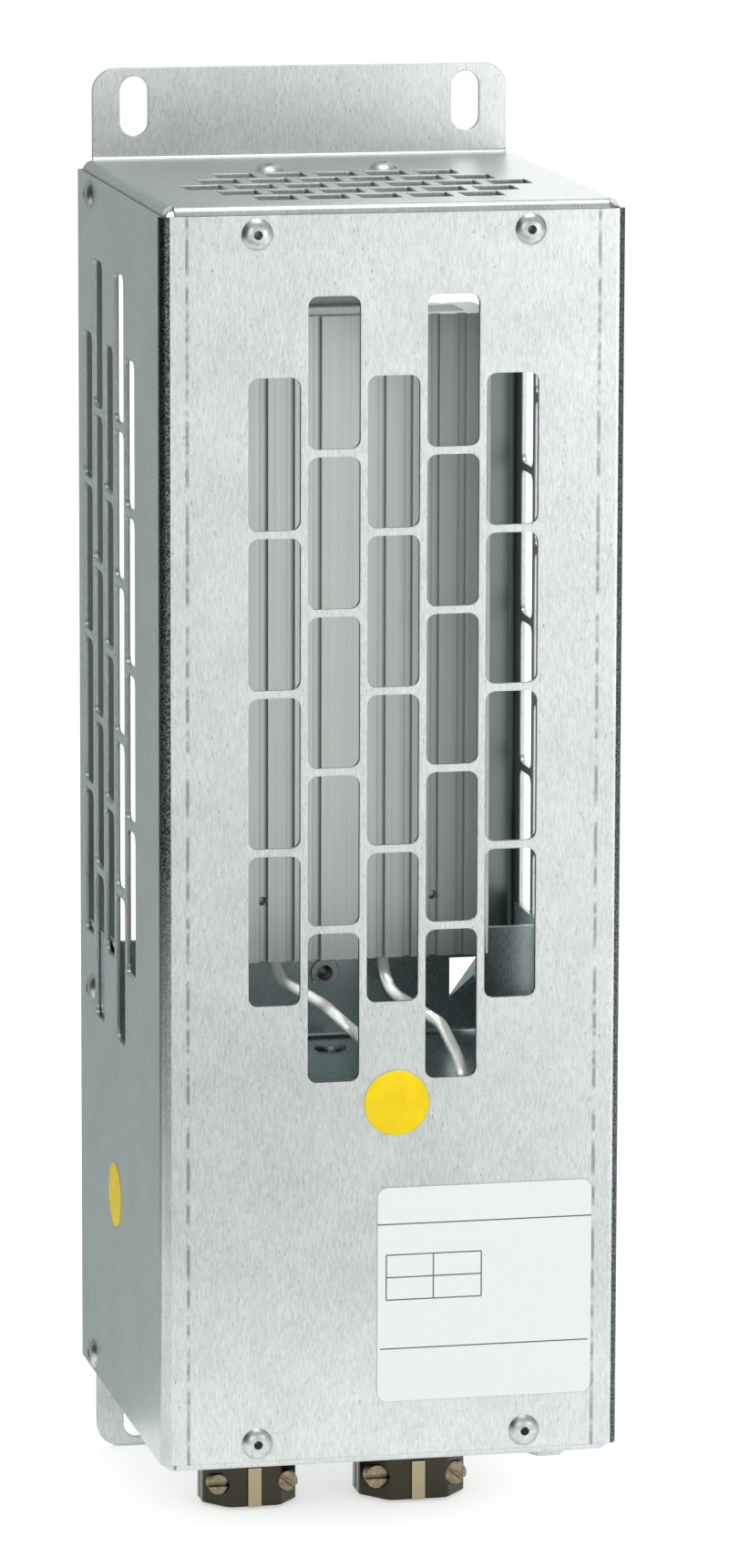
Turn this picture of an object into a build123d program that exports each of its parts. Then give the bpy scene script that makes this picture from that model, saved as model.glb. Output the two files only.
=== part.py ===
from build123d import *
import math
import os

# Braking resistor for wall mounting. Millimetres, +Z up, the front faces -Y.
# Origin: on the wall plane, midway between the two upper fixing slots.

# Housing
width = 95.0
depth = 95.0
body_height = 258.0
sheet = 1.0
bend = 1.0
fit = 0.05
plate_lap = 10.0
lip_width = 7.5
corner_relief = 0.3

# Fixing flanges and their slots
flange_rise = 19.0
flange_margin = 8.0
flange_corner = 5.0
slot_spacing = 70.8
slot_width = 6.0
slot_length = 12.5

# Staggered side and front vents
vent_width = 10.6
vent_height = 30.7
vent_corner = 2.0
vent_web = 1.55
vent_drop = 98.0
side_vent_inset = 37.1
short_columns = 3
short_column_vents = 4
tall_columns = 2
tall_column_vents = 5

# Small square vents in the top plate
grille_hole = 8.4
grille_corner = 0.8
grille_pitch = 10.55
grille_inset = 58.5
grille_longest_row = 7
grille_rows_each_way = 2

# Blind rivets
rivet_hole = 3.3
rivet_shank = 3.2
rivet_head = 6.4
rivet_dome = 1.2
rivet_shoulder_share = 0.72
rivet_bulb = 4.6
rivet_tail = 3.4
mandrel_hole = 1.8
rivet_edge = 3.75
rivet_spacing = 55.6
side_rivet_inset = 15.9
divider_rivet_rise = 84.85
bracket_rivet_spacing = 24.0
bracket_rivet_inset = 27.5

# Divider: shelf, upright wall with a tongue, side flanges
shelf_rise = 75.9
wall_rise = 22.2
wall_inset = 33.0
tongue_width = 36.0
tongue_rise = 32.0
shelf_front_gap = 0.5
side_flange_end = 8.0
bush_offset = -1.1
bush_drop = 8.4
bush_diameter = 5.8
bush_bore = 3.3
bush_depth = 5.0
bush_proud = 0.4
ear_offset = 25.7
ear_drop = 6.3
ear_width = 6.1
ear_height = 8.5
lead_hole_offsets = (3.6, 17.3)
lead_hole_front_margin = 11.0

# Resistor housing
housing_width = 60.0
housing_thickness = 19.0
housing_length = 134.0
housing_corner = 1.6
housing_lift = 20.5
chamber_width = 50.0
chamber_thickness = 11.0
chamber_corner = 1.0
groove_width = 1.9
groove_depth = 1.2
groove_first = 6.75
groove_pitch = 5.6
groove_count = 4
drill_diameter = 1.9
drill_rise = 12.7
drill_depth = 2.0
plug_thickness = 4.0
core_width = 44.0
core_thickness = 3.0
core_margin = 8.0

# Upper bracket and the screws that hold the resistor
bracket_width = 40.0
bracket_foot = 13.0
bracket_overlap = 36.0
screw_diameter = 4.0
screw_head = 8.0
screw_head_height = 2.4
screw_reach = 3.0
screw_slot_width = 1.0
screw_slot_depth = 1.0
screw_spacing = 20.0
upper_screw_drop = 24.0
lower_screw_rise = 14.0

# Leads
lead_diameter = 2.4
lead_exits = (-13.6, 9.2)
lead_bend = 10.0
lead_bend_share = 0.45
left_lead_drop = 5.0
left_lead_turn = (-7.0, -61.0)
left_lead_turn_rise = 12.9
right_lead_drop = 8.0
right_lead_turn = (15.8, -70.0)
right_lead_turn_rise = 9.9
lead_entry_rise = 3.5
lead_last_run = 8.0
grommet_bore = 4.6
grommet_neck = 6.6
grommet_flange = 8.2
grommet_lip = 0.6

# Terminal block under the shelf
block_width = 34.0
block_depth = 18.0
block_height = 16.0
block_inset = 43.3
block_offset = -2.1
block_edge = 1.5
insert_spacing = 18.0
insert_diameter = 6.0
insert_bore = 3.6
insert_bore_depth = 12.0
insert_drop = 8.0
clamp_screw_diameter = 3.0
clamp_screw_pitch = 9.0
clamp_screw_well = 5.0
block_screw_diameter = 3.4
block_screw_head = 6.6
block_screw_dome = 0.7
block_screw_bevel = 0.42

# Cable glands
gland_drop = 18.5
seal_thickness = 1.0
collar_height = 6.0
nipple_rise = 9.0
locknut_height = 4.0
locknut_margin = 3.0
clamp_height = 9.4
jaw_gap = 0.8
jaw_corner = 2.4
jaw_reach_share = 0.87
jaw_cheek_share = 0.16
jaw_nose_share = 0.27
gland_screw_angles = (0.0, -40.0)
rib_width = 2.8
rib_proud = 0.5
rib_cap_height = 1.1
gland_sizes = {
    "left": dict(x=-20.7, jaw=20.0, pitch=14.8, nipple=16.0, collar=19.0, neck=10.6, bore=8.0, head=4.2),
    "right": dict(x=14.0, jaw=22.6, pitch=16.8, nipple=20.0, collar=23.0, neck=13.0, bore=10.0, head=4.8),
}

# Earth bolt in the bottom plate
earth_side_margin = 11.8
earth_front_margin = 15.0
earth_diameter = 5.0
earth_head_flats = 8.0
earth_head_height = 3.2
earth_nut_height = 4.0
earth_washer_diameter = 10.0
earth_washer_thickness = 1.0
earth_length = 12.0

# Stick-on fields
label_size = 44.6
label_corner = 2.0
label_thickness = 0.15
label_margin = 5.8
label_rise = 33.6
dot_diameter = 13.4
front_dot = (1.0, 73.6)
side_dot_inset = 42.4
side_dot_rise = 44.5

# Worked-out places
bend_mid = bend + sheet / 2
bend_outer = bend + sheet
plate_top = flange_margin - flange_rise
plate_bottom = plate_top - body_height
lower_slots = plate_bottom - flange_rise + flange_margin
cover_inset = bend_outer - corner_relief / 2
cover_top = plate_top - cover_inset
cover_bottom = plate_bottom + cover_inset
inner_half = width / 2 - sheet
plate_half = inner_half - bend_outer - corner_relief
inner_front = -(depth - sheet)
vent_pitch_x = vent_width + vent_web
vent_pitch_z = vent_height + vent_web
vent_level = plate_top - vent_drop
rivet_top = cover_top - rivet_edge
rivet_bottom = cover_bottom + rivet_edge
divider_rivet_level = plate_bottom + divider_rivet_rise
shelf_top = plate_bottom + shelf_rise
wall_top = shelf_top + wall_rise
wall_front = -wall_inset
housing_bottom = shelf_top + housing_lift
housing_top = housing_bottom + housing_length
housing_rear = wall_front
housing_front = housing_rear - housing_thickness
housing_middle = (housing_rear + housing_front) / 2
upper_screw_level = housing_top - upper_screw_drop
lower_screw_level = housing_bottom + lower_screw_rise
gland_end = plate_bottom - gland_drop
gland_y = -depth / 2
earth_x = width / 2 - earth_side_margin
earth_y = -depth + earth_front_margin
earth_nut_base = plate_bottom + sheet + earth_washer_thickness
label_x = width / 2 - label_margin - label_size / 2
shelf_bottom = shelf_top - sheet
block_top = shelf_bottom
block_y = -block_inset
shelf_grommet_points = [(x, -depth + lead_hole_front_margin) for x in lead_hole_offsets]
insert_level = block_top - insert_drop

os.makedirs("parts", exist_ok=True)


def write(made, name):
    """Labels a finished piece and writes it as one STEP file."""
    made.part.label = name
    export_step(made.part, f"parts/{name}.step")


def folded(points, thickness=sheet, radius=bend):
    """Section of a folded sheet along its middle line, in the current sketch."""
    with BuildLine() as middle_line:
        FilletPolyline(*points, radius=radius + thickness / 2)
    trace(middle_line.edges(), line_width=thickness)


def vent_field():
    """Five staggered columns of tall rounded vents, four and five high in turn."""
    with GridLocations(2 * vent_pitch_x, vent_pitch_z, short_columns, short_column_vents):
        RectangleRounded(vent_width, vent_height, vent_corner)
    with GridLocations(2 * vent_pitch_x, vent_pitch_z, tall_columns, tall_column_vents):
        RectangleRounded(vent_width, vent_height, vent_corner)


def bore(plane, points, diameter, amount, both=False):
    """Cuts round holes through the current part from a plane."""
    with BuildSketch(plane) as rounds:
        with Locations(*points):
            Circle(diameter / 2)
    extrude(rounds.sketch, amount=amount, both=both, mode=Mode.SUBTRACT)


# Housing wrap: front, two sides and rear lips folded from one sheet
side_mid = width / 2 - sheet / 2
front_mid = -(depth - sheet / 2)
rear_mid = -sheet / 2
lip_x = width / 2 - lip_width
side_rivet_levels = [rivet_top, divider_rivet_level, rivet_bottom]
with BuildPart() as housing_wrap:
    with BuildSketch(Plane.XY.offset(cover_bottom)):
        folded([
            (-lip_x, rear_mid),
            (-side_mid, rear_mid),
            (-side_mid, front_mid),
            (side_mid, front_mid),
            (side_mid, rear_mid),
            (lip_x, rear_mid),
        ])
    extrude(amount=cover_top - cover_bottom)
    with BuildSketch(Plane.XZ.offset(depth)):
        with Locations((0, vent_level)):
            vent_field()
    extrude(amount=-2 * sheet, mode=Mode.SUBTRACT)
    with BuildSketch(Plane.YZ):
        with Locations((-side_vent_inset, vent_level)):
            vent_field()
    extrude(amount=width, both=True, mode=Mode.SUBTRACT)
    front_rivets = [(s * rivet_spacing / 2, z) for s in (-1, 1) for z in (rivet_bottom, rivet_top)]
    bore(Plane.XZ.offset(depth), front_rivets, rivet_hole, -2 * sheet)
    bore(Plane.YZ, [(-side_rivet_inset, z) for z in side_rivet_levels], rivet_hole, width, both=True)
write(housing_wrap, "housing_wrap")


def end_plate(outer, up):
    """Folded plate: mounting flange, flat, front flange and side flanges. up is 1 for the top."""
    level = outer - up * sheet / 2
    lap = outer - up * plate_lap
    with BuildSketch(Plane.YZ.offset(-plate_half)) as strip:
        folded([
            (rear_mid, outer + up * flange_rise),
            (rear_mid, level),
            (inner_front + sheet / 2, level),
            (inner_front + sheet / 2, lap),
        ])
    extrude(strip.sketch, amount=2 * plate_half)
    flange_ends = edges().filter_by(Axis.Y).group_by(Axis.Z)[-1 if up > 0 else 0]
    fillet(flange_ends, radius=flange_corner)
    side_front = inner_front + bend_outer + corner_relief
    side_length = -bend_outer - corner_relief - side_front
    for side in (-1, 1):
        with BuildSketch(Plane.XZ.offset(-side_front)) as turned_down:
            folded([
                (side * plate_half, level),
                (side * (inner_half - sheet / 2), level),
                (side * (inner_half - sheet / 2), lap),
            ])
        extrude(turned_down.sketch, amount=-side_length)
    with BuildSketch(Plane.XZ) as slots:
        with Locations((0, outer + up * (flange_rise - flange_margin))):
            with GridLocations(slot_spacing, 1, 2, 1):
                SlotOverall(slot_length, slot_width, rotation=90)
    extrude(slots.sketch, amount=2 * sheet, mode=Mode.SUBTRACT)
    rivet_level = rivet_top if up > 0 else rivet_bottom
    level_rivets = [(s * rivet_spacing / 2, rivet_level) for s in (-1, 1)]
    bore(Plane.XZ.offset(depth), level_rivets, rivet_hole, -4 * sheet)
    bore(Plane.YZ, [(-side_rivet_inset, rivet_level)], rivet_hole, width, both=True)


# Top plate with its square vents in rows of five, six, seven, six, five
with BuildPart() as top_plate:
    end_plate(plate_top, 1)
    with BuildSketch(Plane.XY.offset(plate_top)):
        for row in range(-grille_rows_each_way, grille_rows_each_way + 1):
            with Locations((0, -grille_inset + row * grille_pitch)):
                with GridLocations(grille_pitch, 1, grille_longest_row - abs(row), 1):
                    RectangleRounded(grille_hole, grille_hole, grille_corner)
    extrude(amount=-2 * sheet, mode=Mode.SUBTRACT)
    bracket_rivets = [(s * bracket_rivet_spacing / 2, -bracket_rivet_inset) for s in (-1, 1)]
    bore(Plane.XY.offset(plate_top), bracket_rivets, rivet_hole, -2 * sheet)
write(top_plate, "top_plate")

# Bottom plate with the gland holes and the earth bolt's hole
with BuildPart() as bottom_plate:
    end_plate(plate_bottom, -1)
    for gland in gland_sizes.values():
        gland_hole = gland["nipple"] + 2 * fit
        bore(Plane.XY.offset(plate_bottom), [(gland["x"], gland_y)], gland_hole, 2 * sheet)
    bore(Plane.XY.offset(plate_bottom), [(earth_x, earth_y)], earth_diameter + 2 * fit, 2 * sheet)
write(bottom_plate, "bottom_plate")

# Divider bracket: shelf over the wiring space, wall and tongue behind the resistor,
# flanges riveted to the sides
shelf_front = inner_front + shelf_front_gap
wall_mid = wall_front + sheet / 2
with BuildPart() as divider_bracket:
    with BuildSketch(Plane.YZ.offset(-plate_half)):
        folded([
            (shelf_front, shelf_top - sheet / 2),
            (wall_mid, shelf_top - sheet / 2),
            (wall_mid, wall_top),
        ])
    extrude(amount=2 * plate_half)
    with BuildSketch(Plane.XZ.offset(-wall_front)):
        with Locations((0, wall_top)):
            Rectangle(tongue_width, tongue_rise, align=(Align.CENTER, Align.MIN))
    extrude(amount=-sheet)
    flange_base = shelf_top + bend_outer
    for side in (-1, 1):
        with BuildSketch(Plane.XY.offset(flange_base)):
            folded([
                (side * plate_half, wall_mid),
                (side * (inner_half - sheet / 2), wall_mid),
                (side * (inner_half - sheet / 2), -side_flange_end),
            ])
        extrude(amount=wall_top - flange_base)
    bore(Plane.YZ, [(-side_rivet_inset, divider_rivet_level)], rivet_hole, width, both=True)
    bore(Plane.XY.offset(shelf_top), shelf_grommet_points, grommet_neck + 2 * fit, -2 * sheet)
    block_screw_hole = block_screw_diameter + 2 * fit
    bore(Plane.XY.offset(shelf_top), [(block_offset, block_y)], block_screw_hole, -2 * sheet)
    bush_level = wall_top - bush_drop
    bush_hole = bush_diameter + 2 * fit
    bore(Plane.XZ.offset(-wall_front), [(bush_offset, bush_level)], bush_hole, -2 * sheet)
    lower_screws = [(s * screw_spacing / 2, lower_screw_level) for s in (-1, 1)]
    bore(Plane.XZ.offset(-wall_front), lower_screws, screw_diameter + 2 * fit, -2 * sheet)
    # A corner of sheet is sheared on two sides and folded to the front along the slant
    ear_top = wall_top - ear_drop
    slant = math.hypot(ear_width, ear_height)
    with BuildSketch(Plane.XZ.offset(-wall_front)):
        with BuildLine():
            Polyline(
                (ear_offset, ear_top),
                (ear_offset + ear_width, ear_top),
                (ear_offset, ear_top - ear_height),
                close=True)
        make_face()
    extrude(amount=-sheet, mode=Mode.SUBTRACT)
    ear_plane = Plane(
        origin=(ear_offset + ear_width / 2, wall_front, ear_top - ear_height / 2),
        x_dir=(ear_width, 0, ear_height), z_dir=(ear_height, 0, -ear_width))
    with BuildSketch(ear_plane):
        with BuildLine():
            Polyline(
                (-slant / 2, -sheet),
                (slant / 2, -sheet),
                (slant / 2, 0),
                (ear_height ** 2 / slant - slant / 2, ear_width * ear_height / slant),
                (-slant / 2, 0),
                close=True)
        make_face()
    extrude(amount=sheet)
write(divider_bracket, "divider_bracket")

# Upper bracket between the top plate and the resistor's rear face
bracket_top = plate_top - sheet
with BuildPart() as upper_bracket:
    with BuildSketch(Plane.YZ.offset(-bracket_width / 2)):
        folded([
            (wall_mid, housing_top - bracket_overlap),
            (wall_mid, bracket_top - sheet / 2),
            (wall_front + bracket_foot, bracket_top - sheet / 2),
        ])
    extrude(amount=bracket_width)
    bore(Plane.XY.offset(bracket_top), bracket_rivets, rivet_hole, -2 * sheet)
    upper_screws = [(s * screw_spacing / 2, upper_screw_level) for s in (-1, 1)]
    bore(Plane.XZ.offset(-wall_front), upper_screws, screw_diameter + 2 * fit, -2 * sheet)
write(upper_bracket, "upper_bracket")

# Grooved aluminium housing of the resistor, open through its length
groove_places = [s * (groove_first + k * groove_pitch) for s in (-1, 1) for k in range(groove_count)]
with BuildPart() as resistor_housing:
    with BuildSketch(Plane.XY.offset(housing_bottom)):
        with Locations((0, housing_middle)):
            RectangleRounded(housing_width, housing_thickness, housing_corner)
            RectangleRounded(chamber_width, chamber_thickness, chamber_corner, mode=Mode.SUBTRACT)
        with Locations(*[(x, housing_front) for x in groove_places]):
            Rectangle(groove_width, groove_depth, align=(Align.CENTER, Align.MIN), mode=Mode.SUBTRACT)
        with Locations(*[(x, housing_rear) for x in groove_places]):
            Rectangle(groove_width, groove_depth, align=(Align.CENTER, Align.MAX), mode=Mode.SUBTRACT)
    extrude(amount=housing_length)
    drill_x = groove_first + 2 * groove_pitch
    drill_points = [(-drill_x, housing_bottom + drill_rise), (drill_x, housing_bottom + drill_rise)]
    bore(Plane.XZ.offset(-housing_front), drill_points, drill_diameter, -groove_depth - drill_depth)
    bore(Plane.XZ.offset(-housing_rear), upper_screws + lower_screws, screw_diameter + 2 * fit, screw_reach + fit)
write(resistor_housing, "resistor_housing")

# Plugs that close the chamber at both ends; the lower one lets the leads out
lead_points = [(x, housing_middle) for x in lead_exits]
for plug_name, plug_base in (
    ("upper_end_plug", housing_top - plug_thickness),
    ("lower_end_plug", housing_bottom),
):
    with BuildPart() as end_plug:
        with BuildSketch(Plane.XY.offset(plug_base)):
            with Locations((0, housing_middle)):
                RectangleRounded(chamber_width - 2 * fit, chamber_thickness - 2 * fit, chamber_corner)
            if plug_name == "lower_end_plug":
                with Locations(*lead_points):
                    Circle(lead_diameter / 2 + fit, mode=Mode.SUBTRACT)
        extrude(amount=plug_thickness)
    write(end_plug, plug_name)

# Resistance winding on its flat former, with tags that meet the leads
core_base = housing_bottom + plug_thickness + core_margin
core_length = housing_length - 2 * plug_thickness - 2 * core_margin
with BuildPart() as resistance_winding:
    with BuildSketch(Plane.XY.offset(core_base)):
        with Locations((0, housing_middle)):
            SlotOverall(core_width, core_thickness)
    extrude(amount=core_length)
    with BuildSketch(Plane.XY.offset(core_base)):
        with Locations(*lead_points):
            Circle(lead_diameter / 2)
    extrude(amount=-core_margin)
write(resistance_winding, "resistance_winding")

# Sand-like filler that takes up the rest of the chamber
with BuildPart() as chamber_filler:
    with BuildSketch(Plane.XY.offset(housing_bottom + plug_thickness + fit)):
        with Locations((0, housing_middle)):
            RectangleRounded(chamber_width - 2 * fit, chamber_thickness - 2 * fit, chamber_corner)
    extrude(amount=housing_length - 2 * plug_thickness - 2 * fit)
    with BuildSketch(Plane.XY.offset(core_base - fit)):
        with Locations((0, housing_middle)):
            SlotOverall(core_width + 2 * fit, core_thickness + 2 * fit)
    extrude(amount=core_length + 2 * fit, mode=Mode.SUBTRACT)
    bore(Plane.XY.offset(core_base), lead_points, lead_diameter + 2 * fit, -core_margin)
write(chamber_filler, "chamber_filler")


def slotted_screw(plane, points, diameter, head, head_height, reach, angles=(0,)):
    """Slotted cheese-head screws. The plane lies under the heads and faces out of them."""
    with BuildSketch(plane) as heads:
        with Locations(*points):
            Circle(head / 2)
    extrude(heads.sketch, amount=head_height)
    with BuildSketch(plane) as shanks:
        with Locations(*points):
            Circle(diameter / 2)
    extrude(shanks.sketch, amount=-reach)
    with BuildSketch(plane.offset(head_height)) as slots:
        for place, angle in zip(points, angles * len(points)):
            with Locations(place):
                Rectangle(head + 2 * fit, screw_slot_width, rotation=angle)
    extrude(slots.sketch, amount=-screw_slot_depth, mode=Mode.SUBTRACT)


rear_facing = Plane(origin=(0, wall_front + sheet, 0), x_dir=(-1, 0, 0), z_dir=(0, 1, 0))
with BuildPart() as resistor_screws:
    screw_levels = (upper_screw_level, lower_screw_level)
    screw_places = [(s * screw_spacing / 2, z) for s in (-1, 1) for z in screw_levels]
    slotted_screw(
        rear_facing, screw_places, screw_diameter, screw_head, screw_head_height,
        screw_reach + sheet)
write(resistor_screws, "resistor_screws")


def blind_rivet(plane, thickness):
    """One set blind rivet. The plane lies on the outer sheet face and faces out."""
    tail = -thickness - rivet_tail
    shoulder = (rivet_head / 2 * rivet_shoulder_share, rivet_dome * rivet_shoulder_share)
    with BuildSketch(Plane(origin=plane.origin, x_dir=plane.x_dir, z_dir=-plane.y_dir)) as profile:
        with BuildLine() as outline:
            Polyline(
                (mandrel_hole / 2, rivet_dome),
                (mandrel_hole / 2, -thickness),
                (0, -thickness),
                (0, tail),
                (rivet_bulb / 4, tail),
                (rivet_bulb / 2, -thickness - rivet_tail / 3),
                (rivet_bulb / 2, -thickness),
                (rivet_shank / 2, -thickness),
                (rivet_shank / 2, 0),
                (rivet_head / 2, 0))
            ThreePointArc((rivet_head / 2, 0), shoulder, (mandrel_hole / 2, rivet_dome))
        make_face(outline.edges())
    revolve(profile.sketch, axis=Axis(plane.origin, plane.z_dir))


rivet_places = [((x, y, plate_top), (0, 0, 1), (1, 0, 0)) for x, y in bracket_rivets]
rivet_places += [((x, -depth, z), (0, -1, 0), (1, 0, 0)) for x, z in front_rivets]
for side in (-1, 1):
    rivet_places += [
        ((side * width / 2, -side_rivet_inset, z), (side, 0, 0), (0, 1, 0))
        for z in side_rivet_levels
    ]
with BuildPart() as rivets:
    for place, outward, along in rivet_places:
        blind_rivet(Plane(origin=place, x_dir=along, z_dir=outward), 2 * sheet)
write(rivets, "rivets")

# Blind threaded bush pressed into the divider wall
with BuildPart() as wall_bush:
    with BuildSketch(Plane.XZ.offset(-wall_front + bush_proud)):
        with Locations((bush_offset, bush_level)):
            Circle(bush_diameter / 2)
    extrude(amount=-bush_proud - sheet - bush_depth)
    bore(Plane.XZ.offset(-wall_front + bush_proud), [(bush_offset, bush_level)], bush_bore, -bush_depth)
write(wall_bush, "wall_bush")

# Rubber grommets round the leads where they pass the shelf
with BuildPart() as shelf_grommets:
    for x, y in shelf_grommet_points:
        for base, rise, ring in (
            (shelf_top, grommet_lip, grommet_flange),
            (shelf_bottom, sheet, grommet_neck),
            (shelf_bottom - grommet_lip, grommet_lip, grommet_flange),
        ):
            with BuildSketch(Plane.XY.offset(base)):
                with Locations((x, y)):
                    Circle(ring / 2)
                    Circle(grommet_bore / 2, mode=Mode.SUBTRACT)
            extrude(amount=rise)
write(shelf_grommets, "shelf_grommets")

# Leads from the lower plug through the shelf to the terminal block
lead_end = block_y - block_depth / 2
left_pass, right_pass = shelf_grommet_points
left_exit, right_exit = lead_points
left_wire, right_wire = (block_offset - insert_spacing / 2, block_offset + insert_spacing / 2)
lead_routes = {
    "left_lead": [
        (*left_exit, housing_bottom),
        (*left_exit, housing_bottom - left_lead_drop),
        (*left_lead_turn, shelf_top + left_lead_turn_rise),
        (*left_pass, shelf_top + lead_entry_rise),
        (*left_pass, insert_level),
        (left_wire, lead_end - lead_last_run, insert_level),
        (left_wire, lead_end, insert_level),
    ],
    "right_lead": [
        (*right_exit, housing_bottom),
        (*right_exit, housing_bottom - right_lead_drop),
        (*right_lead_turn, shelf_top + right_lead_turn_rise),
        (*right_pass, shelf_top + lead_entry_rise),
        (*right_pass, insert_level),
        (right_wire, lead_end - lead_last_run, insert_level),
        (right_wire, lead_end, insert_level),
    ],
}


def bend_radii(points):
    """Bend radius at each inner point of a route, smaller where the straights beside it are short."""
    radii = []
    for before, here, after in zip(points, points[1:], points[2:]):
        run_in, run_out = Vector(*here) - Vector(*before), Vector(*after) - Vector(*here)
        # Only one bend draws on the first and the last straight, so it may use twice the share
        room_in = run_in.length * (2 if before is points[0] else 1)
        room_out = run_out.length * (2 if after is points[-1] else 1)
        half_turn = math.radians(run_in.get_angle(run_out)) / 2
        widest = lead_bend_share * min(room_in, room_out) / math.tan(half_turn)
        radii.append(min(lead_bend, widest))
    return radii


for lead_name, route in lead_routes.items():
    radii = bend_radii(route)
    with BuildPart() as lead:
        with BuildLine() as lead_line:
            FilletPolyline(*route, radius=radii)
        with BuildSketch(Plane(origin=lead_line.line @ 0, z_dir=lead_line.line % 0)):
            Circle(lead_diameter / 2)
        sweep()
    run = sum(edge.length for edge in lead_line.edges())
    tube = math.pi * (lead_diameter / 2) ** 2 * run
    print(lead_name, "length", round(run, 1), "radii", [round(r, 1) for r in radii])
    print(lead_name, "volume against a straight rod", round(lead.part.volume / tube, 4))
    write(lead, lead_name)

# Ceramic terminal block under the shelf
insert_places = [left_wire, right_wire]
clamp_places = [
    (x, block_y + s * clamp_screw_pitch / 2) for x in insert_places for s in (-1, 1)
]
with BuildPart() as terminal_block:
    with BuildSketch(Plane.XY.offset(block_top)):
        with Locations((block_offset, block_y)):
            Rectangle(block_width, block_depth)
    extrude(amount=-block_height)
    chamfer(edges().filter_by(Axis.Z), length=block_edge)
    insert_points = [(x, insert_level) for x in insert_places]
    bore(Plane.XZ.offset(-lead_end), insert_points, insert_diameter + 2 * fit, -block_depth)
    well_depth = block_height - insert_drop
    bore(Plane.XY.offset(block_top - block_height), clamp_places, clamp_screw_well, well_depth)
    bore(Plane.XY.offset(block_top), [(block_offset, block_y)], block_screw_hole, -block_height)
write(terminal_block, "terminal_block")

with BuildPart() as terminal_inserts:
    with BuildSketch(Plane.XZ.offset(-lead_end)):
        with Locations(*insert_points):
            Circle(insert_diameter / 2)
    extrude(amount=-block_depth)
    wire_entry = Plane.XZ.offset(-lead_end - block_depth)
    bore(wire_entry, insert_points, insert_bore, insert_bore_depth)
    bore(Plane.XY.offset(insert_level), clamp_places, clamp_screw_diameter + 2 * fit, -insert_diameter)
write(terminal_inserts, "terminal_inserts")

upside_down = Plane(origin=(0, 0, insert_level - insert_diameter / 2), x_dir=(1, 0, 0), z_dir=(0, 0, -1))
with BuildPart() as terminal_screws:
    slotted_screw(
        upside_down, [(x, -y) for x, y in clamp_places],
        clamp_screw_diameter, clamp_screw_well - 4 * fit,
        clamp_screw_diameter / 2, (insert_diameter - insert_bore) / 2)
write(terminal_screws, "terminal_screws")

with BuildPart() as block_screw:
    with BuildSketch(Plane.XY.offset(shelf_top)):
        with Locations((block_offset, block_y)):
            Circle(block_screw_head / 2)
    extrude(amount=block_screw_dome)
    chamfer(edges().group_by(Axis.Z)[-1], length=block_screw_bevel)
    with BuildSketch(Plane.XY.offset(shelf_top)):
        with Locations((block_offset, block_y)):
            Circle(block_screw_diameter / 2)
    extrude(amount=-sheet - block_height)
write(block_screw, "block_screw")

# Cable glands: seal, body, lock nut, two clamp jaws and their screws
clamp_top = gland_end + clamp_height
seal_base = plate_bottom - seal_thickness


def jaw_outline(jaw, front):
    """Half of a gland's clamp in plan: straight front, slanted cheeks, rounded corners."""
    reach = jaw / 2 * jaw_reach_share
    cheek = jaw * jaw_cheek_share
    nose = jaw * jaw_nose_share
    return [
        (-jaw / 2, front * jaw_gap / 2),
        (-jaw / 2, front * cheek),
        (-nose, front * reach),
        (nose, front * reach),
        (jaw / 2, front * cheek),
        (jaw / 2, front * jaw_gap / 2),
    ]


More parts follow.
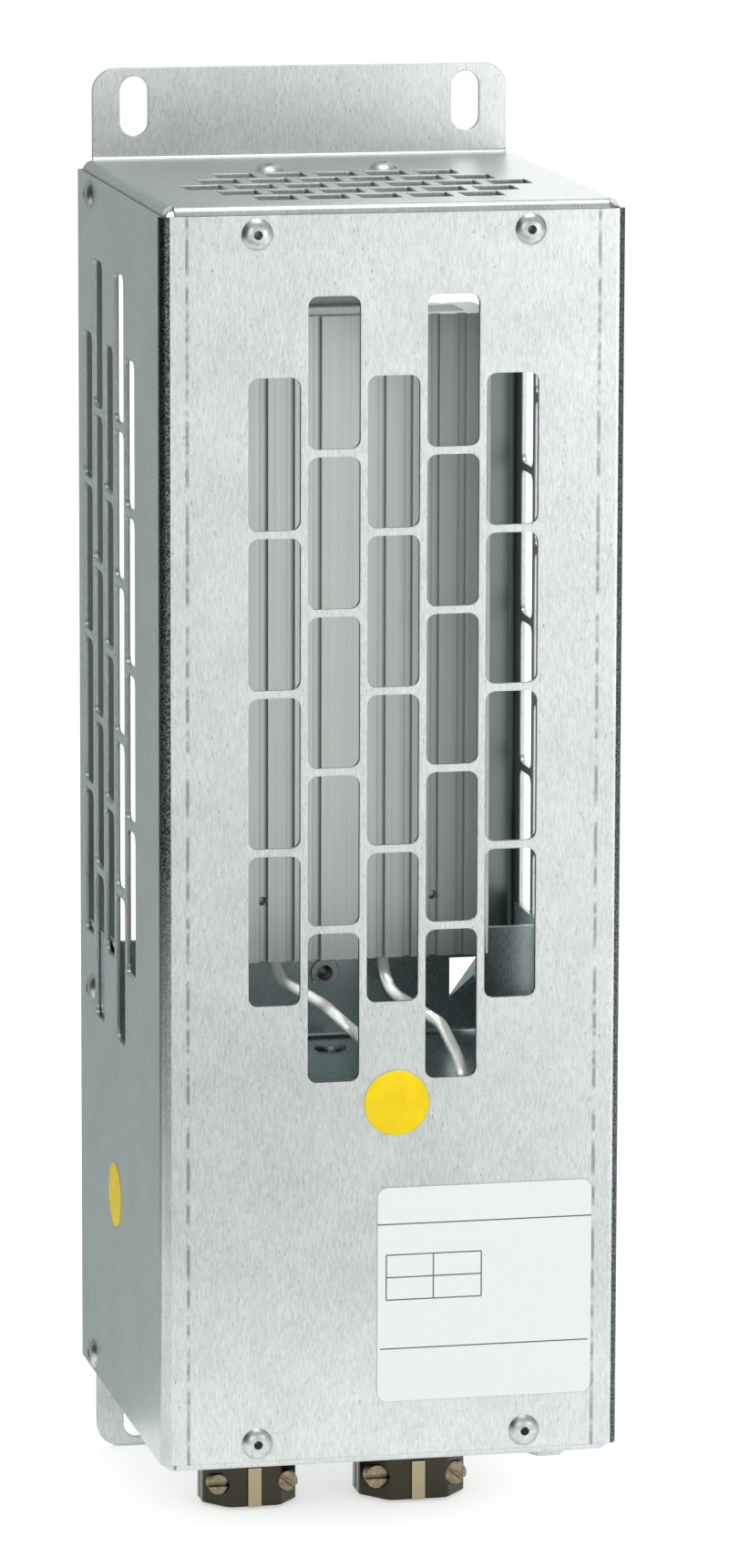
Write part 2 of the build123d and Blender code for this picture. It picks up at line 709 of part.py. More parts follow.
for side, size in gland_sizes.items():
    spot = Location((size["x"], gland_y, 0))
    jaw_reach = size["jaw"] / 2 * jaw_reach_share
    screw_level = gland_end + clamp_height / 2
    screw_spots = [(s * size["pitch"] / 2, screw_level) for s in (-1, 1)]

    with BuildPart() as gland_seal:
        with BuildSketch(Plane.XY.offset(seal_base)):
            Circle(size["collar"] / 2)
            Circle(size["nipple"] / 2 + fit, mode=Mode.SUBTRACT)
        extrude(amount=seal_thickness)
    gland_seal.part = gland_seal.part.moved(spot)
    write(gland_seal, f"{side}_gland_seal")

    with BuildPart() as gland_body:
        with BuildSketch(Plane.XY.offset(seal_base - collar_height)):
            RegularPolygon(size["collar"] / 2, 6, major_radius=False)
        extrude(amount=collar_height)
        with BuildSketch(Plane.XY.offset(seal_base)):
            Circle(size["nipple"] / 2)
        extrude(amount=seal_thickness + nipple_rise)
        with BuildSketch(Plane.XY.offset(gland_end)):
            Circle(size["neck"] / 2)
        extrude(amount=seal_base - collar_height - gland_end)
        with BuildSketch(Plane.XY.offset(gland_end)):
            Circle(size["bore"] / 2)
        extrude(amount=gland_drop + nipple_rise, mode=Mode.SUBTRACT)
    gland_body.part = gland_body.part.moved(spot)
    write(gland_body, f"{side}_gland_body")

    with BuildPart() as gland_nut:
        with BuildSketch(Plane.XY.offset(plate_bottom + sheet)):
            RegularPolygon(size["nipple"] / 2 + locknut_margin, 6, major_radius=False)
            Circle(size["nipple"] / 2 + fit, mode=Mode.SUBTRACT)
        extrude(amount=locknut_height)
    gland_nut.part = gland_nut.part.moved(spot)
    write(gland_nut, f"{side}_gland_nut")

    for jaw_name, front in (("front", -1), ("rear", 1)):
        with BuildPart() as jaw_part:
            with BuildSketch(Plane.XY.offset(gland_end)):
                with BuildLine():
                    Polyline(*jaw_outline(size["jaw"], front), close=True)
                make_face()
                cheeks = [v for v in vertices() if abs(v.Y) > jaw_gap]
                fillet(cheeks, radius=jaw_corner)
                Circle(size["neck"] / 2 + fit, mode=Mode.SUBTRACT)
            extrude(amount=clamp_height)
            if front < 0:
                with BuildSketch(Plane.XY.offset(gland_end)):
                    with Locations((0, -jaw_reach)):
                        Rectangle(rib_width, rib_proud, align=(Align.CENTER, Align.MAX))
                extrude(amount=clamp_height - rib_cap_height)
            bore(Plane.XZ, screw_spots, clamp_screw_diameter + 2 * fit, size["jaw"], both=True)
            # Flats that the screw heads seat on
            if front < 0:
                seat = Plane.XZ.offset(jaw_reach / 2)
                bore(seat, screw_spots, size["head"] + 4 * fit, size["jaw"])
        jaw_part.part = jaw_part.part.moved(spot)
        write(jaw_part, f"{side}_gland_{jaw_name}_jaw")

    with BuildPart() as gland_screws:
        slotted_screw(
            Plane.XZ.offset(jaw_reach / 2), screw_spots, clamp_screw_diameter, size["head"],
            clamp_screw_diameter, jaw_reach, angles=gland_screw_angles)
    gland_screws.part = gland_screws.part.moved(spot)
    write(gland_screws, f"{side}_gland_screws")

# Earth bolt through the bottom plate, with washer and nut inside
with BuildPart() as earth_bolt:
    with BuildSketch(Plane.XY.offset(plate_bottom)):
        with Locations((earth_x, earth_y)):
            RegularPolygon(earth_head_flats / 2, 6, major_radius=False)
    extrude(amount=-earth_head_height)
    with BuildSketch(Plane.XY.offset(plate_bottom)):
        with Locations((earth_x, earth_y)):
            Circle(earth_diameter / 2)
    extrude(amount=earth_length)
write(earth_bolt, "earth_bolt")

with BuildPart() as earth_washer:
    with BuildSketch(Plane.XY.offset(plate_bottom + sheet)):
        with Locations((earth_x, earth_y)):
            Circle(earth_washer_diameter / 2)
            Circle(earth_diameter / 2 + fit, mode=Mode.SUBTRACT)
    extrude(amount=earth_washer_thickness)
write(earth_washer, "earth_washer")

with BuildPart() as earth_nut:
    with BuildSketch(Plane.XY.offset(earth_nut_base)):
        with Locations((earth_x, earth_y)):
            RegularPolygon(earth_head_flats / 2, 6, major_radius=False)
            Circle(earth_diameter / 2 + fit, mode=Mode.SUBTRACT)
    extrude(amount=earth_nut_height)
write(earth_nut, "earth_nut")

# Stick-on fields: a plain plate lower right, a plain dot on the front and one on the left side
with BuildPart() as rating_plate:
    with BuildSketch(Plane.XZ.offset(depth)):
        with Locations((label_x, cover_bottom + label_rise)):
            RectangleRounded(label_size, label_size, label_corner)
    extrude(amount=label_thickness)
write(rating_plate, "rating_plate")

with BuildPart() as front_sticker:
    with BuildSketch(Plane.XZ.offset(depth)):
        with Locations((front_dot[0], cover_bottom + front_dot[1])):
            Circle(dot_diameter / 2)
    extrude(amount=label_thickness)
write(front_sticker, "front_sticker")

with BuildPart() as side_sticker:
    with BuildSketch(Plane.YZ.offset(-width / 2)):
        with Locations((-side_dot_inset, cover_bottom + side_dot_rise)):
            Circle(dot_diameter / 2)
    extrude(amount=-label_thickness)
write(side_sticker, "side_sticker")
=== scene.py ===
import math

import bpy
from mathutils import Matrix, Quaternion, Vector


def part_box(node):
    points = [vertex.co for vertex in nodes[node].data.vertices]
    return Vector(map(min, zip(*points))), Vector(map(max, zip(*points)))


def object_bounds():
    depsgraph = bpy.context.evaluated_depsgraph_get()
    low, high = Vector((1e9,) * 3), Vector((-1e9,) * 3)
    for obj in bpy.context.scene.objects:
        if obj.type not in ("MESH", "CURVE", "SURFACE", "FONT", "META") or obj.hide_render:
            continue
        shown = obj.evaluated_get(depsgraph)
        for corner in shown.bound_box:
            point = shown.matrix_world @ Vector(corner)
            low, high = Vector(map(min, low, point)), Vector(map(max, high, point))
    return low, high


# Wall-mounted braking resistor: vented galvanised housing, grooved aluminium resistor inside.
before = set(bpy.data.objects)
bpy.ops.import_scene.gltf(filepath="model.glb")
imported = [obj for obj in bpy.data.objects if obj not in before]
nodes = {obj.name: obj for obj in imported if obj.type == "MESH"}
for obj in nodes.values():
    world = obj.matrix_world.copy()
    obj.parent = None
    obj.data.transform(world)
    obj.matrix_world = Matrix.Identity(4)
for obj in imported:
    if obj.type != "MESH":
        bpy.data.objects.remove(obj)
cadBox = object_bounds()
mm = 0.001


def hexToLinear(code):
    channels = [int(code[i:i + 2], 16) / 255 for i in (1, 3, 5)]
    linear = [c / 12.92 if c <= 0.04045 else ((c + 0.055) / 1.055) ** 2.4 for c in channels]
    return (*linear, 1.0)


def addNode(tree, kind, settings=None, links=None):
    node = tree.nodes.new(kind)
    for name, value in (settings or {}).items():
        if isinstance(name, str) and hasattr(node, name):
            setattr(node, name, value)
        else:
            node.inputs[name].default_value = value
    for name, source in (links or {}).items():
        tree.links.new(source, node.inputs[name])
    return node


def maths(tree, operation, *operands):
    # an operand is another node's socket or a number
    node = addNode(tree, "ShaderNodeMath", {"operation": operation})
    for slot, operand in enumerate(operands):
        if isinstance(operand, bpy.types.NodeSocket):
            tree.links.new(operand, node.inputs[slot])
        else:
            node.inputs[slot].default_value = operand
    return node.outputs["Value"]


def noise(tree, vector, scale, **settings):
    return addNode(tree, "ShaderNodeTexNoise", {"Scale": scale, **settings}, {"Vector": vector}).outputs["Fac"]


def stretched(tree, vector, scale):
    return addNode(tree, "ShaderNodeMapping", {"Scale": scale}, {"Vector": vector}).outputs["Vector"]


def ranged(tree, value, source, target):
    settings = {"From Min": source[0], "From Max": source[1], "To Min": target[0], "To Max": target[1]}
    return addNode(tree, "ShaderNodeMapRange", settings, {"Value": value}).outputs["Result"]


def overlaid(tree, base, code, factor):
    node = addNode(tree, "ShaderNodeMix", {"data_type": "RGBA", "B": hexToLinear(code)}, {"Factor": factor, "A": base})
    return node.outputs["Result"]


def toned(tree, value, look, span):
    ramp = addNode(tree, "ShaderNodeValToRGB", None, {"Fac": value})
    for stop, position, code in zip(ramp.color_ramp.elements, span, (look["dark"], look["light"])):
        stop.position = position
        stop.color = hexToLinear(code)
    return ramp.outputs["Color"]


def bumped(tree, shader, height, strength, depthMm, normal=None):
    links = {"Height": height} if normal is None else {"Height": height, "Normal": normal}
    bump = addNode(tree, "ShaderNodeBump", {"Strength": strength, "Distance": depthMm * mm}, links)
    tree.links.new(bump.outputs["Normal"], shader.inputs["Normal"])


def newMaterial(name):
    material = bpy.data.materials.new(name)
    material.use_nodes = True
    tree = material.node_tree
    return material, tree, tree.nodes["Principled BSDF"]


def millimetres(tree):
    # object coordinates are the row's frame in metres, so times 1000 they read in millimetres
    place = addNode(tree, "ShaderNodeTexCoord")
    return stretched(tree, place.outputs["Object"], (1000, 1000, 1000))


# painted shade in crevices: samples per point and the openness span over which the shade fades out
creviceShading = {"samples": 4, "opennessSpan": (0.25, 0.85)}


def shadeInCrevices(tree, colour, reachMm, dark):
    # painted shade: colour is darkened in holes and where two pieces meet, more where nearby geometry closes a point in
    nearby = addNode(tree, "ShaderNodeAmbientOcclusion", {"samples": creviceShading["samples"], "Distance": reachMm * mm})
    amount = ranged(tree, nearby.outputs["AO"], creviceShading["opennessSpan"], (1.0, 0.0))
    return overlaid(tree, colour, dark, amount)


def paint(material, *names):
    for name in names:
        mesh = nodes[name].data
        mesh.materials.clear()
        mesh.materials.append(material)


# Hot-dip galvanised steel, skin-passed: pale zinc with fine short grain along the rolling
# direction, soft clouds and a scatter of dark pits
# the inner, bend and crevice colours below are painted shade and painted reflection
zinc = {
    "light": "#d8dcda", "dark": "#bbc0be", "pit": "#555c5b", "crazedDarkReflection": "#2a3336", "inner": "#87918f",
    "grainWidthMm": 0.26, "grainLengthMm": 1.5, "cloudMm": 16.0, "grainShare": 0.66, "toneSpan": (0.32, 0.64),
    "scratchWidthMm": 0.3, "scratchLengthMm": 1.5, "patchScale": 0.12, "patchShare": 0.12,
    "pitSpan": (0.76, 0.83), "pitting": 0.55,
    "roughness": 0.33, "roughnessSwing": 0.06, "roughnessSpan": (0.3, 0.7),
    "bumpMm": 0.012, "bumpStrength": 0.3, "edgeMm": 0.38, "edgeSamples": 4,
    "crevice": "#3d4342", "creviceMm": 0.9,
}
# Marks on the folded wrap, placed in the row's frame: X from the middle, Y and Z from the origin
wrapMarks = {
    "innerSideMm": 46.75, "innerFrontMm": -94.25,
    "cutEdge": "#3a4143", "cutEdgeNormal": -0.7, "cutEdgeFrontMm": -93.95, "flatHalfMm": 45.0,
    "foldMarkMm": 42.0, "foldMarkWidthMm": 0.36, "foldMarkDashMm": 6.0, "foldMarkFrontMm": -90.0,
    "dashSpan": (0.4, 0.54), "foldMarkStrength": 0.55,
    "leftBendMm": -45.4, "rightBendMm": 46.0, "bendFrontMm": -92.9,
    "leftFadeMm": (-225.0, -140.0), "leftFade": (0.12, 1.0),
    "speckMm": 0.4, "speckSpan": (0.34, 0.6), "speckStrength": (0.72, 1.0),
}
# The same sheet inside, painted darker as painted shade, and bluer
interiorShadedZinc = {"light": "#b9c6c6", "dark": "#a4b3b4", "pit": "#566063", "pitting": 0.2, "roughness": 0.28}


def markedWrap(tree, place, finish, look):
    marks = wrapMarks
    split = addNode(tree, "ShaderNodeSeparateXYZ", None, {"Vector": place})
    x, y, z = split.outputs["X"], split.outputs["Y"], split.outputs["Z"]
    side = maths(tree, "ABSOLUTE", x)
    # painted shade: faces turned into the housing are painted darker than those outside
    within = maths(tree, "LESS_THAN", side, marks["innerSideMm"])
    behind = maths(tree, "GREATER_THAN", y, marks["innerFrontMm"])
    finish = overlaid(tree, finish, zinc["inner"], maths(tree, "MULTIPLY", within, behind))
    # painted shade: the upright cut edges of the punched front vents that face left are painted dark
    facing = addNode(tree, "ShaderNodeNewGeometry")
    normal = addNode(tree, "ShaderNodeSeparateXYZ", None, {"Vector": facing.outputs["True Normal"]})
    sideways = maths(tree, "LESS_THAN", normal.outputs["X"], marks["cutEdgeNormal"])
    frontSheet = maths(tree, "LESS_THAN", y, marks["cutEdgeFrontMm"])
    flat = maths(tree, "LESS_THAN", side, marks["flatHalfMm"])
    onEdge = maths(tree, "MULTIPLY", sideways, frontSheet)
    finish = overlaid(tree, finish, marks["cutEdge"], maths(tree, "MULTIPLY", onEdge, flat))
    # the folding tool left a faint broken line beside each front bend, on the front only
    away = maths(tree, "COMPARE", side, marks["foldMarkMm"], marks["foldMarkWidthMm"])
    onFront = maths(tree, "LESS_THAN", y, marks["foldMarkFrontMm"])
    dashes = addNode(tree, "ShaderNodeTexNoise",
                     {"noise_dimensions": "1D", "Scale": 1 / marks["foldMarkDashMm"], "Detail": 3.0}, {"W": z})
    broken = ranged(tree, dashes.outputs["Fac"], marks["dashSpan"], (0.0, marks["foldMarkStrength"]))
    frontMark = maths(tree, "MULTIPLY", maths(tree, "MULTIPLY", away, broken), onFront)
    finish = overlaid(tree, finish, look["pit"], frontMark)
    # painted reflection: the bends are painted dark, speckled like crazed zinc, at the left most of all near the top,
    # where they mirror dark surroundings
    leftBend = maths(tree, "LESS_THAN", x, marks["leftBendMm"])
    rightBend = maths(tree, "GREATER_THAN", x, marks["rightBendMm"])
    leftFaded = maths(tree, "MULTIPLY", leftBend, ranged(tree, z, marks["leftFadeMm"], marks["leftFade"]))
    bent = maths(tree, "MAXIMUM", leftFaded, rightBend)
    corner = maths(tree, "MULTIPLY", bent, maths(tree, "LESS_THAN", y, marks["bendFrontMm"]))
    specks = noise(tree, place, 1 / marks["speckMm"], Detail=2.0)
    crazedDarkReflection = ranged(tree, specks, marks["speckSpan"], marks["speckStrength"])
    return overlaid(tree, finish, look["crazedDarkReflection"], maths(tree, "MULTIPLY", corner, crazedDarkReflection))


def galvanisedSheet(name, grain, look, outside=False):
    # grain is "z" for upright sheets, "yz" for strips folded from upright to flat
    material, tree, shader = newMaterial(name)
    place = millimetres(tree)

    def alongGrain(widthMm, lengthMm):
        across, along = 1 / widthMm, 1 / lengthMm
        return stretched(tree, place, (across, across, along) if grain == "z" else (across, along, along))

    grainVector = alongGrain(zinc["grainWidthMm"], zinc["grainLengthMm"])
    grainNoise = noise(tree, grainVector, 1.0, Detail=2.0, Roughness=0.55)
    clouds = noise(tree, place, 1 / zinc["cloudMm"], Detail=5.0, Roughness=0.66)
    both = addNode(tree, "ShaderNodeMix", {"data_type": "FLOAT", 0: zinc["grainShare"]}, {2: clouds, 3: grainNoise})
    finish = toned(tree, both.outputs[0], look, zinc["toneSpan"])
    scratchVector = alongGrain(zinc["scratchWidthMm"], zinc["scratchLengthMm"])
    scratches = noise(tree, scratchVector, 1.0, Detail=1.0, Roughness=0.7)
    patches = noise(tree, place, zinc["patchScale"], Detail=2.0)
    patchy = maths(tree, "MULTIPLY_ADD", patches, zinc["patchShare"], scratches)
    finish = overlaid(tree, finish, look["pit"], ranged(tree, patchy, zinc["pitSpan"], (0.0, look["pitting"])))
    if outside:
        finish = markedWrap(tree, place, finish, look)
    # painted shade in holes and where pieces meet
    finish = shadeInCrevices(tree, finish, zinc["creviceMm"], zinc["crevice"])
    tree.links.new(finish, shader.inputs["Base Color"])
    shader.inputs["Metallic"].default_value = 1.0
    low = look["roughness"] - zinc["roughnessSwing"] / 2
    rough = ranged(tree, both.outputs[0], zinc["roughnessSpan"], (low, low + zinc["roughnessSwing"]))
    tree.links.new(rough, shader.inputs["Roughness"])
    # punched and sheared edges catch the light along a narrow round
    edges = addNode(tree, "ShaderNodeBevel", {"samples": zinc["edgeSamples"], "Radius": zinc["edgeMm"] * mm})
    bumped(tree, shader, both.outputs[0], zinc["bumpStrength"], zinc["bumpMm"], edges.outputs["Normal"])
    return material


paint(galvanisedSheet("galvanisedSheetFolded", "z", zinc, outside=True), "housing_wrap")
paint(galvanisedSheet("galvanisedSheetPlates", "yz", zinc), "top_plate", "bottom_plate", "upper_bracket")
# painted shade: the divider bracket inside takes the darker, bluer copy of the sheet
paint(galvanisedSheet("interiorShadedGalvanisedSheet", "yz", interiorShadedZinc), "divider_bracket")
print("stage: galvanised sheet")

# Drawn aluminium profile: grey satin with die lines along its length
profile = {
    "light": "#ccd1cc", "dark": "#c2c7c2", "dieLineMm": 0.6, "dieLineLengthMm": 120.0, "toneSpan": (0.3, 0.7),
    "crevice": "#1b1f1e", "creviceMm": 1.0,
    "roughness": 0.42, "bumpMm": 0.01, "bumpStrength": 0.4,
}


def drawnAluminium():
    material, tree, shader = newMaterial("drawnAluminium")
    across, along = 1 / profile["dieLineMm"], 1 / profile["dieLineLengthMm"]
    lines = noise(tree, stretched(tree, millimetres(tree), (across, across, along)), 1.0, Detail=2.0)
    finish = toned(tree, lines, profile, profile["toneSpan"])
    # painted shade in holes and where pieces meet
    finish = shadeInCrevices(tree, finish, profile["creviceMm"], profile["crevice"])
    tree.links.new(finish, shader.inputs["Base Color"])
    shader.inputs["Metallic"].default_value = 1.0
    shader.inputs["Roughness"].default_value = profile["roughness"]
    bumped(tree, shader, lines, profile["bumpStrength"], profile["bumpMm"])
    return material


paint(drawnAluminium(), "resistor_housing")

# What every plain finish shares: how its grain turns into tone and relief
grains = {"detail": 3.0, "toneSpan": (0.35, 0.65), "bumpStrength": 0.4}


def grainy(name, look, roughness, bumpMm, metallic=0.0):
    material, tree, shader = newMaterial(name)
    grain = noise(tree, millimetres(tree), 1 / look["grainMm"], Detail=grains["detail"])
    finish = toned(tree, grain, look, grains["toneSpan"])
    # finishes that list a crevice colour get painted shade in holes and where pieces meet
    if "crevice" in look:
        finish = shadeInCrevices(tree, finish, look["creviceMm"], look["crevice"])
    tree.links.new(finish, shader.inputs["Base Color"])
    shader.inputs["Metallic"].default_value = metallic
    shader.inputs["Roughness"].default_value = roughness
    if "specular" in look:
        shader.inputs["Specular IOR Level"].default_value = look["specular"]
    bumped(tree, shader, grain, grains["bumpStrength"], bumpMm)
    return material


# Cast ceramic cement: matte, sandy, nearly white
cement = {"light": "#f0f3f2", "dark": "#c9cecd", "grainMm": 0.6}
paint(grainy("castCement", cement, 0.9, 0.08), "upper_end_plug", "lower_end_plug", "chamber_filler")

# Nickel-chrome wire on its former: dull grey metal
wire = {"light": "#9b9b98", "dark": "#7c7c7a", "grainMm": 0.5}
paint(grainy("woundResistanceWire", wire, 0.45, 0.03, metallic=1.0), "resistance_winding")
print("stage: resistor")

# Zinc-plated steel: brighter than the sheet, slightly bluish
plated = {"light": "#c3c8c9", "dark": "#9fa5a7", "grainMm": 2.5, "crevice": "#0f1213", "creviceMm": 2.4}
paint(grainy("zincPlatedSteel", plated, 0.3, 0.01, metallic=1.0),
      "resistor_screws", "wall_bush", "block_screw", "terminal_screws", "earth_bolt", "earth_washer", "earth_nut")

# Aluminium rivets, tumbled: soft bright grey
rivetMetal = {"light": "#ced1ce", "dark": "#b4b8b5", "grainMm": 1.2, "crevice": "#1d2021", "creviceMm": 1.3}
paint(grainy("tumbledAluminium", rivetMetal, 0.37, 0.015, metallic=1.0), "rivets")
print("stage: fasteners")

# Silicone rubber sleeve over the lead: off-white, waxy
sleeve = {"light": "#f7faf5", "dark": "#edf1ea", "grainMm": 3.0}
paint(grainy("siliconeRubberSleeve", sleeve, 0.42, 0.02), "left_lead", "right_lead")

# Moulded rubber: near black, dull
rubber = {"light": "#2a2a2a", "dark": "#1b1b1b", "grainMm": 0.8}
paint(grainy("mouldedRubber", rubber, 0.7, 0.02), "shelf_grommets", "left_gland_seal", "right_gland_seal")

# Glazed porcelain: warm white, glossy
porcelain = {"light": "#efece2", "dark": "#e2ded2", "grainMm": 4.0}
paint(grainy("glazedPorcelain", porcelain, 0.18, 0.02), "terminal_block")

# Turned brass
brass = {"light": "#d9b56a", "dark": "#b8934d", "grainMm": 1.0}
paint(grainy("turnedBrass", brass, 0.3, 0.01, metallic=1.0), "terminal_inserts")
print("stage: wiring")

# Blackened brass: dark olive and smooth, so that it mirrors the room; a pale stripe of painted
# highlight runs along the rib on each front jaw
glandMetal = {
    "light": "#47443a", "dark": "#39362d", "grainMm": 9.0, "rib": "#a99c82", "ribHalfMm": 1.45, "ribProudMm": 0.45,
    "roughness": 0.24, "crevice": "#14130f", "creviceMm": 0.8,
}


def ribHighlightJaw(side):
    material, tree, shader = newMaterial(side + "JawBlackenedBrass")
    place = millimetres(tree)
    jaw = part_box(side + "_gland_front_jaw")
    middle = (jaw[0].x + jaw[1].x) / 2 / mm
    split = addNode(tree, "ShaderNodeSeparateXYZ", None, {"Vector": place})
    across = maths(tree, "COMPARE", split.outputs["X"], middle, glandMetal["ribHalfMm"])
    proud = maths(tree, "LESS_THAN", split.outputs["Y"], jaw[0].y / mm + glandMetal["ribProudMm"])
    clouds = noise(tree, place, 1 / glandMetal["grainMm"], Detail=grains["detail"])
    black = addNode(tree, "ShaderNodeMix",
                    {"data_type": "RGBA", "A": hexToLinear(glandMetal["dark"]), "B": hexToLinear(glandMetal["light"])},
                    {"Factor": clouds})
    # painted highlight: the rib on the jaw's front is painted pale
    finish = overlaid(tree, black.outputs["Result"], glandMetal["rib"], maths(tree, "MULTIPLY", across, proud))
    # painted shade in holes and where pieces meet
    finish = shadeInCrevices(tree, finish, glandMetal["creviceMm"], glandMetal["crevice"])
    tree.links.new(finish, shader.inputs["Base Color"])
    shader.inputs["Metallic"].default_value = 1.0
    shader.inputs["Roughness"].default_value = glandMetal["roughness"]
    return material


paint(grainy("blackenedBrass", glandMetal, glandMetal["roughness"], 0.004, metallic=1.0),
      *[f"{side}_gland_{piece}" for side in ("left", "right") for piece in ("body", "nut", "rear_jaw")])
for side in ("left", "right"):
    paint(ribHighlightJaw(side), side + "_gland_front_jaw")
screwBrass = {"light": "#a3967b", "dark": "#7b705a", "grainMm": 0.8, "crevice": "#211e18", "creviceMm": 0.7}
paint(grainy("agedBrassScrews", screwBrass, 0.36, 0.015, metallic=1.0), "left_gland_screws", "right_gland_screws")
print("stage: glands")

# Coated polyester film with thin printed rules and nothing written in them. The two long rules
# are measured down from the film's top, the table up from its bottom, both along from its left.
labelFilm = {
    "film": "#dfe1df", "rule": "#5a5c5c", "ruleHalfMm": 0.14, "roughness": 0.35,
    "upperRuleMm": {"from": 0, "to": 100, "down": 7.6},
    "lowerRuleMm": {"from": 0.5, "to": 44, "down": 33.6},
    "tableMm": {"left": 1.8, "middle": 11.6, "right": 21.6, "top": 30.6, "centre": 25.9, "bottom": 21.2},
}


def printedRules(material, tree, shader, box):
    split = addNode(tree, "ShaderNodeSeparateXYZ", None, {"Vector": millimetres(tree)})
    half = labelFilm["ruleHalfMm"]
    left, bottom, top = box[0].x / mm, box[0].z / mm, box[1].z / mm
    table = labelFilm["tableMm"]

    def band(axis, low, high):
        return maths(tree, "COMPARE", split.outputs[axis], (low + high) / 2, (high - low) / 2)

    rules = [("X", "Z", left + rule["from"], left + rule["to"], top - rule["down"])
             for rule in (labelFilm["upperRuleMm"], labelFilm["lowerRuleMm"])]
    rules += [("X", "Z", left + table["left"], left + table["right"], bottom + table[k])
              for k in ("top", "centre", "bottom")]
    rules += [("Z", "X", bottom + table["bottom"], bottom + table["top"], left + table[k])
              for k in ("left", "middle", "right")]
    total = None
    for alongAxis, acrossAxis, low, high, at in rules:
        line = maths(tree, "MULTIPLY", band(alongAxis, low, high), band(acrossAxis, at - half, at + half))
        total = line if total is None else maths(tree, "MAXIMUM", total, line)
    ink = addNode(tree, "ShaderNodeMix",
                  {"data_type": "RGBA", "A": hexToLinear(labelFilm["film"]), "B": hexToLinear(labelFilm["rule"])},
                  {"Factor": total})
    tree.links.new(ink.outputs["Result"], shader.inputs["Base Color"])
    shader.inputs["Roughness"].default_value = labelFilm["roughness"]
    return material


paint(printedRules(*newMaterial("coatedLabelFilm"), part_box("rating_plate")), "rating_plate")
yellow = {"light": "#e6c800", "dark": "#ddbf00", "grainMm": 5.0, "specular": 0.2}
paint(grainy("yellowVinylFilm", yellow, 0.45, 0.005), "front_sticker", "side_sticker")
print("stage: stick-on fields")

# Pale glowing floor in an even white room. The cards are for the metal to reflect: a dark one
# at each side, a grey and a white one behind, and a grey apron on the floor in front.
studio = {
    "floor": "#f7f7f6", "floorGlow": 0.58, "floorReach": 9.0, "floorSides": 64, "floorGap": 0.0002, "matte": 0.9,
    "world": "#f6f9fa", "worldStrength": 0.62, "aim": (0, -0.05, -0.14),
    "keyWatts": 0.85, "keyAt": (0.44, -0.8, 0.0), "keySize": 0.3,
    "fillWatts": 2.2, "fillAt": (-0.45, -1.4, 0.25), "fillSize": 0.6,
    "topWatts": 3.0, "topAt": (0.05, -0.15, 0.85), "topSize": 0.5,
    "ventWatts": 0.0065, "ventAt": (-0.1, -0.86, 0.39), "ventSize": 0.03,
    "ventAim": (0.003, -0.055, -0.178), "ventSpread": 4.5,
    "cardLift": 0.001, "apronLift": 0.003, "frontApron": "#c6cac9",
    "leftFlag": "#0c0e0e", "rightFlag": "#2a2e2e", "rearPanel": "#a8b3b3", "backPanel": "#ffffff", "backPanelGlow": 1.4,
}


def stageFloor():
    mesh = bpy.data.meshes.new("studioFloor")
    reach, level, sides = studio["floorReach"], cadBox[0].z - studio["floorGap"], studio["floorSides"]
    angles = [2 * math.pi * i / sides for i in range(sides)]
    rim = [(reach * math.cos(angle), reach * math.sin(angle), level) for angle in angles]
    mesh.from_pydata(rim, [], [list(range(sides))])
    floor = bpy.data.objects.new("studioFloor", mesh)
    bpy.context.scene.collection.objects.link(floor)
    material, tree, shader = newMaterial("paleFloorPaint")
    shader.inputs["Base Color"].default_value = hexToLinear(studio["floor"])
    shader.inputs["Roughness"].default_value = studio["matte"]
    shader.inputs["Emission Color"].default_value = hexToLinear(studio["floor"])
    shader.inputs["Emission Strength"].default_value = studio["floorGlow"]
    mesh.materials.append(material)


def softbox(name, at, size, watts, aim=studio["aim"], spread=180.0, glossy=True):
    data = bpy.data.lights.new(name, "AREA")
    data.shape = "SQUARE"
    data.size = size
    data.energy = watts
    data.spread = math.radians(spread)
    light = bpy.data.objects.new(name, data)
    light.location = at
    light.rotation_mode = "QUATERNION"
    light.rotation_quaternion = (Vector(aim) - Vector(at)).to_track_quat("-Z", "Y")
    light.visible_glossy = glossy
    bpy.context.scene.collection.objects.link(light)


def flag(name, line, top, colour, glow=1.0, apron=0.0):
    # an upright card along a line on the floor, seen only in glossy reflections;
    # the apron is how far its lower part runs forward over the floor
    mesh = bpy.data.meshes.new(name)
    (x0, y0), (x1, y1) = line
    foot = cadBox[0].z + studio["cardLift"]
    corners = [(x0, y0, foot), (x1, y1, foot), (x1, y1, top), (x0, y0, top)]
    corners += [(x0, y0 - apron, foot), (x1, y1 - apron, foot)]
    mesh.from_pydata(corners, [], [[0, 1, 2, 3], [4, 5, 1, 0]] if apron else [[0, 1, 2, 3]])
    card = bpy.data.objects.new(name, mesh)
    bpy.context.scene.collection.objects.link(card)
    material, tree, shader = newMaterial(name)
    shader.inputs["Base Color"].default_value = hexToLinear("#000000")
    shader.inputs["Emission Color"].default_value = hexToLinear(colour)
    shader.inputs["Emission Strength"].default_value = glow
    shader.inputs["Roughness"].default_value = studio["matte"]
    mesh.materials.append(material)
    card.visible_camera = False
    card.visible_shadow = False
    card.visible_diffuse = False


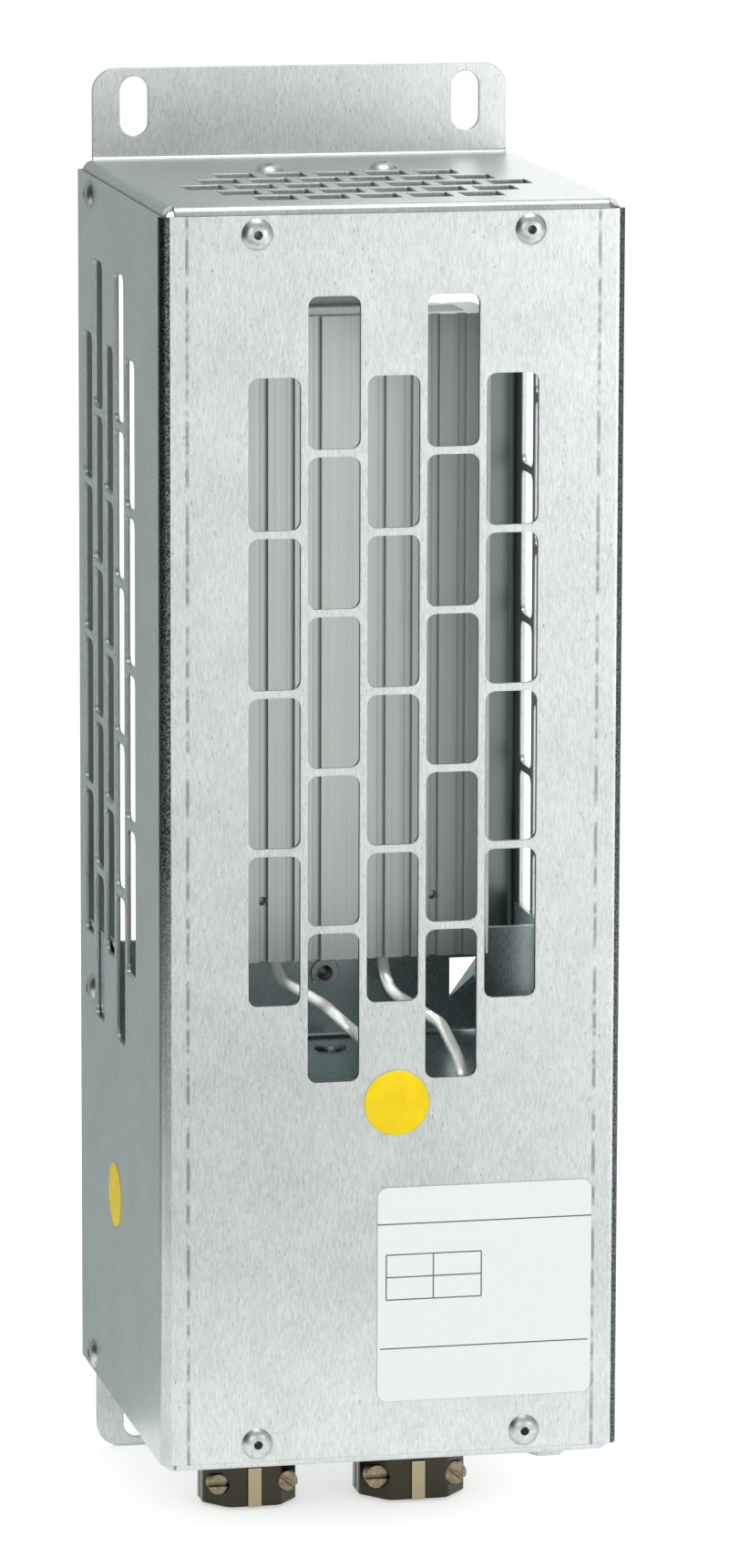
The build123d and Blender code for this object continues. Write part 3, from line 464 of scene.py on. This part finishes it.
stageFloor()
world = bpy.data.worlds.new("studioWorld")
bpy.context.scene.world = world
world.use_nodes = True
world.node_tree.nodes["Background"].inputs["Color"].default_value = hexToLinear(studio["world"])
world.node_tree.nodes["Background"].inputs["Strength"].default_value = studio["worldStrength"]
for kind in ("key", "fill", "top"):
    softbox(kind + "Light", studio[kind + "At"], studio[kind + "Size"], studio[kind + "Watts"])
# a narrow beam through the lower vents reaches the leads
softbox("ventLight", studio["ventAt"], studio["ventSize"], studio["ventWatts"],
        studio["ventAim"], studio["ventSpread"], glossy=False)
flag("leftFlag", ((-0.7, -0.85), (-0.7, 0.3)), 0.6, studio["leftFlag"])
flag("rightFlag", ((0.7, 0.25), (0.45, 0.75)), 0.5, studio["rightFlag"])
flag("rearPanel", ((-0.9, 0.3), (0.05, 0.3)), 0.5, studio["rearPanel"], apron=0.29)
flag("frontApron", ((-0.6, -0.28), (0.11, -0.28)), cadBox[0].z + studio["apronLift"], studio["frontApron"], apron=0.6)
flag("backPanel", ((0.08, 0.32), (0.4, 0.4)), 0.4, studio["backPanel"], glow=studio["backPanelGlow"])
print("stage: studio")

# The camera's place and lens were fitted to points on the photographed object, with the part's sizes held
view = {
    "atMm": (-332.85, -1632.99, 160.90), "yaw": 12.003, "pitch": -10.403, "roll": 0.147,
    "focalPx": 8733.4, "heightPx": 1720, "sensorMm": 36.0, "clip": (0.05, 60.0),
}
cameraData = bpy.data.cameras.new("camera")
cameraData.sensor_width = view["sensorMm"]
cameraData.lens = view["focalPx"] / view["heightPx"] * cameraData.sensor_width
cameraData.clip_start, cameraData.clip_end = view["clip"]
camera = bpy.data.objects.new("camera", cameraData)
bpy.context.scene.collection.objects.link(camera)
yaw, pitch = math.radians(view["yaw"]), math.radians(view["pitch"])
ahead = Vector((math.sin(yaw) * math.cos(pitch), math.cos(yaw) * math.cos(pitch), math.sin(pitch)))
camera.location = Vector(view["atMm"]) * mm
camera.rotation_mode = "QUATERNION"
camera.rotation_quaternion = Quaternion(ahead, -math.radians(view["roll"])) @ ahead.to_track_quat("-Z", "Y")
bpy.context.scene.camera = camera
bpy.context.scene.view_settings.view_transform = "Standard"
